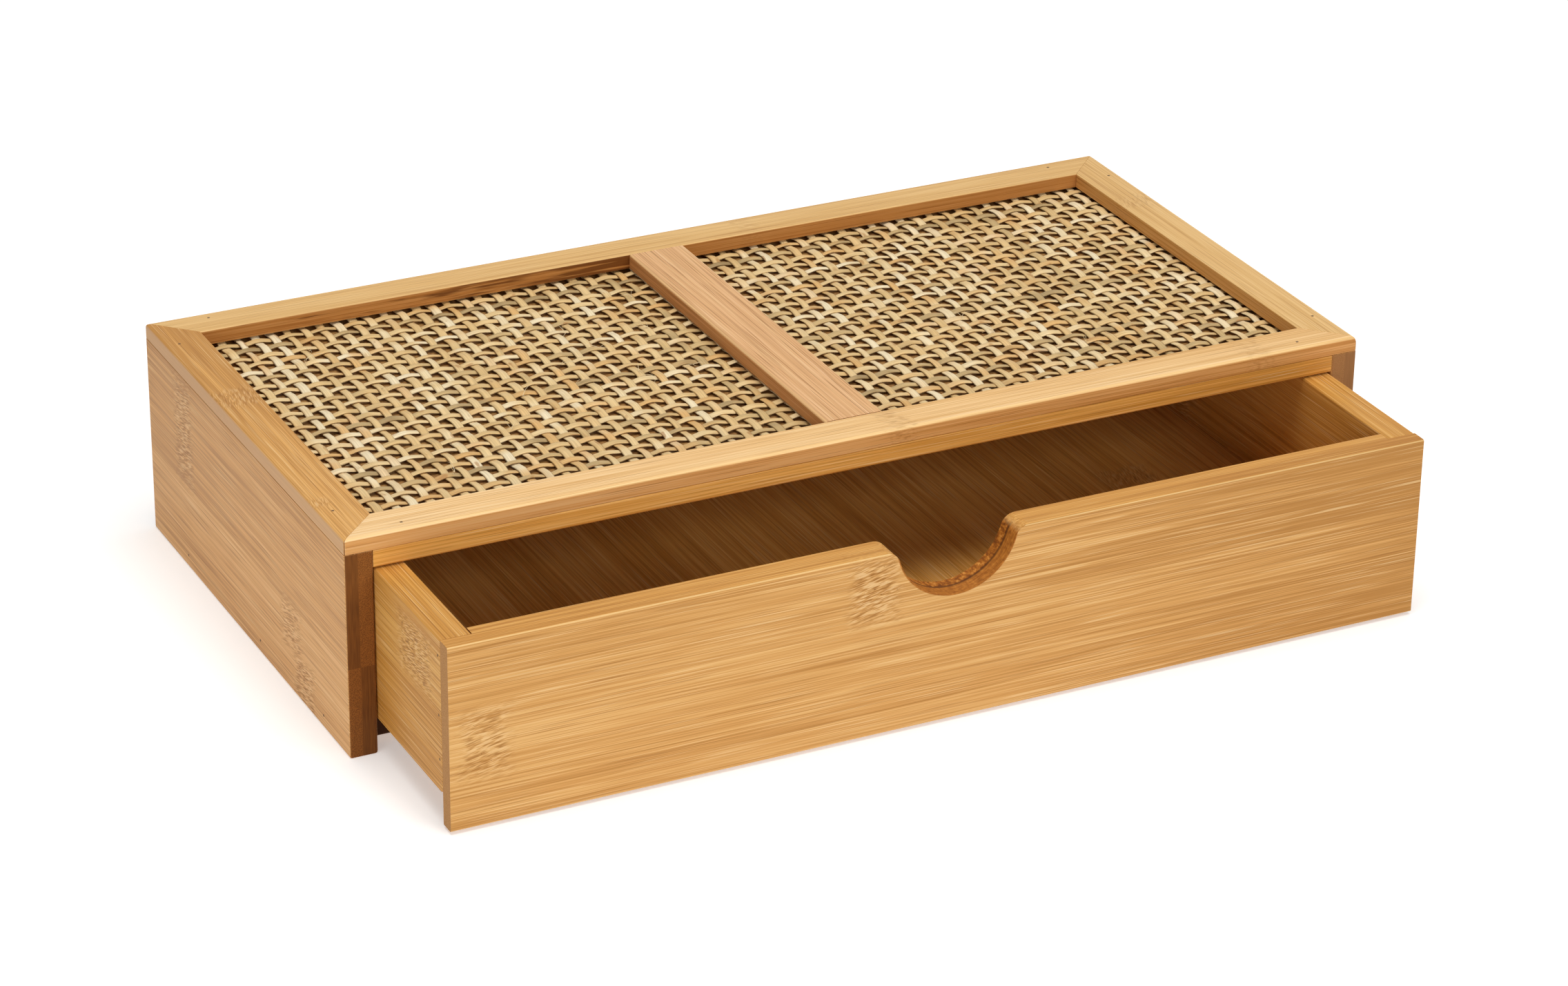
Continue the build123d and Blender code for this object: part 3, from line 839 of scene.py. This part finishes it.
floor_low, floor_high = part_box("drawer_floor")
for node, name, finish in (("drawer_left_side", "left_side_board", drawer_side_bamboo),
                           ("drawer_right_side", "right_side_board", right_side_bamboo),
                           ("drawer_back", "back_end_board", cross_bamboo)):
    low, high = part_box(node)
    panel = block(name, low, high)
    across = Y if node == "drawer_back" else X
    ease(panel, edge_pair(low, high, across, (Z, high[Z])), radius_mm=0.8, segments=3)
    if node != "drawer_back":
        ease(panel, [[(Y, low[Y]), (Z, low[Z])]], radius_mm=2.0)
    cut_away(panel, block("groove_cutter", [c - GROOVE_PLAY for c in floor_low],
                          [c + GROOVE_PLAY for c in floor_high]))
    polish(panel, arris_mm=0.35)
    dress(panel, "drawer", "bamboo", finish, node)

tray = block("floor_board", floor_low, floor_high)
polish(tray, arris_mm=0.3)
dress(tray, "drawer", "bamboo", floor_bamboo, "drawer_floor")


# The woven sheet: one strand is modelled for each direction, copied and crimped

PITCH = 5.6 * MM
STAKES = 58
WEAVERS = 26
WEAVER_HALF_WIDTH_MM = 1.30
STAKE_HALF_WIDTH_MM = 1.45
HALF_THICK_MM = 0.32
STAKE_CRIMP_MM = 0.34
WEAVER_CRIMP_MM = 0.40
# a strand is a little flatter below
UNDERSIDE = 0.8
STRAND_SIDES = 8
RINGS_PER_CROSSING = 7
# how far rings move towards the crossings
GATHER = 0.45
# no strand is quite straight, even or flat: ranges and amounts for chance to choose in
WAVE_SIZES, WAVE_RUNS_MM = (0.4, 1.0), (25, 90)
SWAY_MM = 0.3
LANE_MM = (-0.3, 0.3)
BREADTHS = (0.86, 1.12)
CRIMPS = (0.92, 1.08)
SWELL = 0.14
ROLL = math.radians(7)
TONE_SLACK = (-0.08, 0.08)
WEAVER_TONES = (0.15, 0.25, 0.35, 0.42, 0.5, 0.6, 0.75)
STAKE_TONES = (0.1, 0.15, 0.2, 0.3, 0.35, 0.45, 0.6)
# each strand's streaks come from another stretch of the pattern
STRETCH = 0.7

cane = split_rattan()
stake_low, stake_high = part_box("cane_stakes")
weaver_low, weaver_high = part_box("cane_weavers")
sheet_level = (weaver_low[Z] + weaver_high[Z]) / 2
sheet_y = (stake_low[Y] + stake_high[Y]) / 2


def points_of(piece):
    """The x, y and z of a mesh's points, as three rows."""
    flat = numpy.empty(len(piece.data.vertices) * 3)
    piece.data.vertices.foreach_get("co", flat)
    return flat.reshape(-1, 3).T


def shape_strand(strand, places, along, across, tone):
    """Move a strand's points to their places, and note how it lies for its material."""
    strand.data.vertices.foreach_set("co", numpy.stack(places, 1).ravel())
    lay = numpy.stack([along, across, numpy.full(len(along), tone)], 1)
    held = strand.data.attributes.new("strand_lay", "FLOAT_VECTOR", "POINT")
    held.data.foreach_set("vector", lay.ravel().astype(numpy.float32))


def straight_strand(name, length, half_width_mm):
    """A strand along X, flatter below than above, with rings for the crimp."""
    bpy.ops.object.select_all(action="DESELECT")
    bpy.ops.mesh.primitive_cylinder_add(vertices=STRAND_SIDES, radius=1, depth=length,
                                        rotation=(0, math.pi / 2, 0))
    strand = bpy.context.active_object
    strand.name = name
    strand.scale = (HALF_THICK_MM * MM, half_width_mm * MM, 1)
    settle(strand)
    for point in strand.data.vertices:
        if point.co[Z] < 0:
            point.co[Z] *= UNDERSIDE
    # one pass of cuts can't make this many rings, so there are two, of equal number
    cuts = round(math.sqrt(length / PITCH * RINGS_PER_CROSSING)) - 1
    for _ in range(2):
        ring_cuts(strand, X, least=0.1 * MM, cuts=cuts)
    bpy.ops.object.shade_smooth()
    return strand


def weave(name, pattern, count, crimp_mm, over_first, tones, draw):
    """Copies of one strand, set a pitch apart, crimped over and under, joined as one piece."""
    along, across, up = points_of(pattern)
    copies = []
    for number in range(count):
        waves = [(draw.uniform(*WAVE_SIZES), draw.uniform(*WAVE_RUNS_MM) * MM, draw.uniform(0, math.tau))
                 for _ in range(3)]
        sway = sum(size * numpy.sin(math.tau * along / run + lag) for size, run, lag in waves) / 3
        breadth = draw.uniform(*BREADTHS)
        roll = ROLL * numpy.sin(math.tau * along / waves[0][1] + waves[1][2])
        # rings lie closer where the strand bends over a crossing, but not at its ends
        phase = math.pi * (along / PITCH + over_first)
        bent = along - GATHER * PITCH / math.tau * numpy.sin(2 * phase)
        bent = numpy.where(numpy.abs(along) > along.max() - 2 * PITCH, along, bent)
        phase = math.pi * (bent / PITCH + over_first)
        swell = 1 + SWELL * numpy.sin(math.tau * along / waves[2][1] + waves[0][2])
        lift = crimp_mm * MM * draw.uniform(*CRIMPS) * swell * numpy.cos(phase) * (-1) ** number
        lane = (number - (count - 1) / 2) * PITCH + draw.uniform(*LANE_MM) * MM
        aside = breadth * (across * numpy.cos(roll) - up * numpy.sin(roll))
        height = up * numpy.cos(roll) + across * numpy.sin(roll)
        tone = draw.choice(tones) + draw.uniform(*TONE_SLACK)
        strand = twin(pattern)
        shape_strand(strand, (bent, lane + sway * SWAY_MM * MM + aside, lift + height),
                     along + number * STRETCH, across, tone)
        copies.append(strand)
    return gather(name, pattern, copies)


draw = random.Random(7)
weaver = straight_strand("weaver", weaver_high[X] - weaver_low[X], WEAVER_HALF_WIDTH_MM)
weavers = weave("weavers", weaver, WEAVERS, WEAVER_CRIMP_MM, (STAKES - 1) / 2, WEAVER_TONES, draw)
stake = straight_strand("stake", stake_high[Y] - stake_low[Y], STAKE_HALF_WIDTH_MM)
stakes = weave("stakes", stake, STAKES, STAKE_CRIMP_MM, (WEAVERS - 1) / 2, STAKE_TONES, draw)
# the stakes were laid along X like the weavers, so they are turned a quarter round
stakes.rotation_euler = (0, 0, math.pi / 2)
for strands, node in ((weavers, "cane_weavers"), (stakes, "cane_stakes")):
    strands.location = (0, sheet_y, sheet_level)
    settle(strands)
    dress(strands, "case", "cane", cane, node)


# Whiskers: fine pale fibres that stand off the strands, in small tufts where a strand has split

WHISKERS = 66
TUFT = 3
WHISKER_SIDES, WHISKER_TIP, WHISKER_CUTS = 5, 0.3, 7
FROM_EDGE = 6 * MM
# ranges for chance to choose in
LENGTHS_MM, GAUGES_MM, RISES_MM = (3.0, 7.0), (0.06, 0.11), (0.5, 1.6)
CURLS = (-0.8, 0.8)
WHISKER_TONES = (-0.1, 0.2)
# a whisker leaves the strands at this height, arches up and comes down again
WHISKER_FOOT = sheet_level + 0.8 * MM
ARCH = 2.4

bpy.ops.object.select_all(action="DESELECT")
bpy.ops.mesh.primitive_cone_add(vertices=WHISKER_SIDES, radius1=1, radius2=WHISKER_TIP, depth=1,
                                location=(0, 0, 0.5))
hair = bpy.context.active_object
settle(hair)
ring_cuts(hair, Z, least=0.5, cuts=WHISKER_CUTS)
bpy.ops.object.shade_smooth()
wide, deep, reach = points_of(hair)
copies = []
for number in range(WHISKERS):
    if number % TUFT == 0:
        root_x = draw.uniform(hole_low[X] + FROM_EDGE, hole_high[X] - FROM_EDGE)
        root_y = draw.uniform(hole_low[Y] + FROM_EDGE, hole_high[Y] - FROM_EDGE)
    length = draw.uniform(*LENGTHS_MM) * MM
    gauge = draw.uniform(*GAUGES_MM) * MM
    heading = draw.uniform(0, math.tau)
    turn = heading + draw.uniform(*CURLS) * reach
    rise = draw.uniform(*RISES_MM) * MM
    places = (root_x + length * reach * numpy.cos(turn) - gauge * wide * numpy.sin(heading),
              root_y + length * reach * numpy.sin(turn) + gauge * wide * numpy.cos(heading),
              WHISKER_FOOT + rise * numpy.sin(reach * ARCH) + gauge * deep)
    copy = twin(hair)
    shape_strand(copy, places, reach * length + number, wide * gauge, draw.uniform(*WHISKER_TONES))
    copies.append(copy)
dress(gather("cane_whiskers", hair, copies), "case", "cane", cane)

# the board under the cane keeps its CAD shape
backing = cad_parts["backing_board"]
backing.data.materials.clear()
backing.data.materials.append(brown_fibreboard())


# Brads: headless pins of square wire, one modelled for each use and copied to its places

BRAD_GAUGE_MM = 0.9
# their ends stand a hair proud, so that they show
BRAD_PROUD_MM = 0.03
FRAME_BRAD_MM, SIDE_BRAD_MM = 9.0, 18.0
# from the frame's outer edge, and from its corner
EDGE_IN, CORNER_IN = 4.5 * MM, 20 * MM
# heights above the table, places from front to back, and height above the bottom board's underside
DRAWER_BRAD_LEVELS_MM = (21.7, 36.3, 55.8)
BASE_BRAD_ROWS_MM = (-37.4, 16.4, 81.5)
BASE_BRAD_UP_MM = 2.0
TURNS = {"up": (0, 0, 0), "left": (0, -math.pi / 2, 0), "right": (0, math.pi / 2, 0)}

brad_steel = dulled_steel()


def brads(name, body, length_mm, places, *nodes):
    """Copies of one pin. Each place is where its end shows, and the way that end looks."""
    half, head = BRAD_GAUGE_MM * MM / 2, BRAD_PROUD_MM * MM
    pin = block("pin", (-half, -half, head - length_mm * MM), (half, half, head))
    polish(pin, arris_mm=0.12)
    copies = []
    for place, way in places:
        copy = twin(pin)
        copy.location, copy.rotation_euler = place, TURNS[way]
        copies.append(copy)
    dress(gather(name, pin, copies), body, "brad_steel", brad_steel, *nodes)


# two in each member of the frame, near its mitres
corners = [(x, inward_x, y, inward_y) for x, inward_x in ((ring_low[X], 1), (ring_high[X], -1))
           for y, inward_y in ((ring_low[Y], 1), (ring_high[Y], -1))]
places = [((x + step_x * a, y + step_y * b, top), "up")
          for step_x, step_y in ((CORNER_IN, EDGE_IN), (EDGE_IN, CORNER_IN)) for x, a, y, b in corners]
brads("frame_pins", "case", FRAME_BRAD_MM, places, "frame_brads")

# through the drawer's sides into its inner front and its back
rows = [(low[Y] + high[Y]) / 2 for low, high in (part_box("drawer_inner_front"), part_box("drawer_back"))]
outsides = (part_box("drawer_left_side")[0][X], "left"), (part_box("drawer_right_side")[1][X], "right")
places = [((x, y, level_mm * MM), way) for x, way in outsides for y in rows
          for level_mm in DRAWER_BRAD_LEVELS_MM]
brads("drawer_pins", "drawer", SIDE_BRAD_MM, places, "drawer_brads")

# through the side panels into the bottom board
outsides = (ring_low[X], "left"), (ring_high[X], "right")
places = [((x, row_mm * MM, base_low[Z] + BASE_BRAD_UP_MM * MM), way) for x, way in outsides
          for row_mm in BASE_BRAD_ROWS_MM]
brads("base_pins", "case", SIDE_BRAD_MM, places)


# The stage: a pale floor, soft light from above and the front, and the viewing angle

FLOOR_SIZE = 12
# how bright floor and surroundings look, and how much light they give to the object
WHITE, FILL = 1.0, 0.20
# round the object the floor glows less, so that its shadow shows
NEAR_GLOW, NEAR_REACH, FAR_REACH = 0.36, 0.7, 3.0
# name, place, size and watts
SOFTBOXES = (("top_softbox", (-0.05, -0.10, 1.60), 1.2, 19.0),
             ("front_softbox", (0.42, -1.72, 0.81), 0.8, 11.3),
             ("left_fill", (-1.05, -0.80, 0.20), 0.6, 4.0))


def glow_strength(tree, seen_strength):
    """One strength where the eye sees a glow, straight or reflected, and the fill for the rest."""
    rays = add(tree, "LightPath").outputs
    seen = rays["Is Camera Ray"]
    for ray in ("Is Glossy Ray", "Is Transmission Ray"):
        seen = add(tree, "Math", {0: seen, 1: rays[ray]}, operation="MAXIMUM").outputs[0]
    return add(tree, "MapRange", {"Value": seen, "To Min": FILL, "To Max": seen_strength}).outputs[0]


bpy.ops.object.select_all(action="DESELECT")
bpy.ops.mesh.primitive_plane_add(size=FLOOR_SIZE, location=(0, 0, 0))
ground = bpy.context.active_object
ground.name = "studio_floor"
# a light table: matt white, with a faint glow of its own that fills the shade under the edges
paper, tree = start_material("white_studio_floor")
matt = add(tree, "BsdfDiffuse", {"Color": colour("#F2F1EF")}).outputs[0]
away = add(tree, "TexCoord").outputs["Object"]
away = add(tree, "VectorMath", {0: away}, operation="LENGTH").outputs["Value"]
away = add(tree, "MapRange", {"Value": away, "From Min": NEAR_REACH, "From Max": FAR_REACH,
                              "To Min": NEAR_GLOW, "To Max": WHITE}).outputs[0]
glow = add(tree, "Emission", {"Color": (1, 1, 1, 1), "Strength": glow_strength(tree, away)}).outputs[0]
mixed = add(tree, "AddShader", {0: matt, 1: glow}).outputs[0]
add(tree, "OutputMaterial", {"Surface": mixed})
ground.data.materials.append(paper)

world = bpy.data.worlds.new("studio_world")
bpy.context.scene.world = world
world.use_nodes = True
tree = world.node_tree
tree.nodes.clear()
sky = add(tree, "Background", {"Color": (1, 1, 1, 1), "Strength": glow_strength(tree, WHITE)}).outputs[0]
add(tree, "OutputWorld", {"Surface": sky})

for name, place, size, watts in SOFTBOXES:
    lamp = bpy.data.lights.new(name, "AREA")
    lamp.shape, lamp.size, lamp.energy = "SQUARE", size, watts
    held = bpy.data.objects.new(name, lamp)
    bpy.context.collection.objects.link(held)
    held.location = place
    held.rotation_euler = (-held.location).to_track_quat("-Z", "Y").to_euler()
    held.visible_camera = False

# worked out from the photograph's straight edges, for an image of 2272 by 1429
SENSOR_MM, LENS_MM = 36.0, 109.338
EYE = (-0.61952, -1.23016, 0.69661)
EYE_TURN_DEGREES = (64.0583, -0.6965, -26.3409)

lens = bpy.data.cameras.new("view_camera")
lens.sensor_fit, lens.sensor_width, lens.lens = "HORIZONTAL", SENSOR_MM, LENS_MM
viewer = bpy.data.objects.new("view_camera", lens)
bpy.context.collection.objects.link(viewer)
viewer.location = EYE
viewer.rotation_euler = [math.radians(a) for a in EYE_TURN_DEGREES]
bpy.context.scene.camera = viewer
bpy.context.scene.view_settings.view_transform = "Standard"
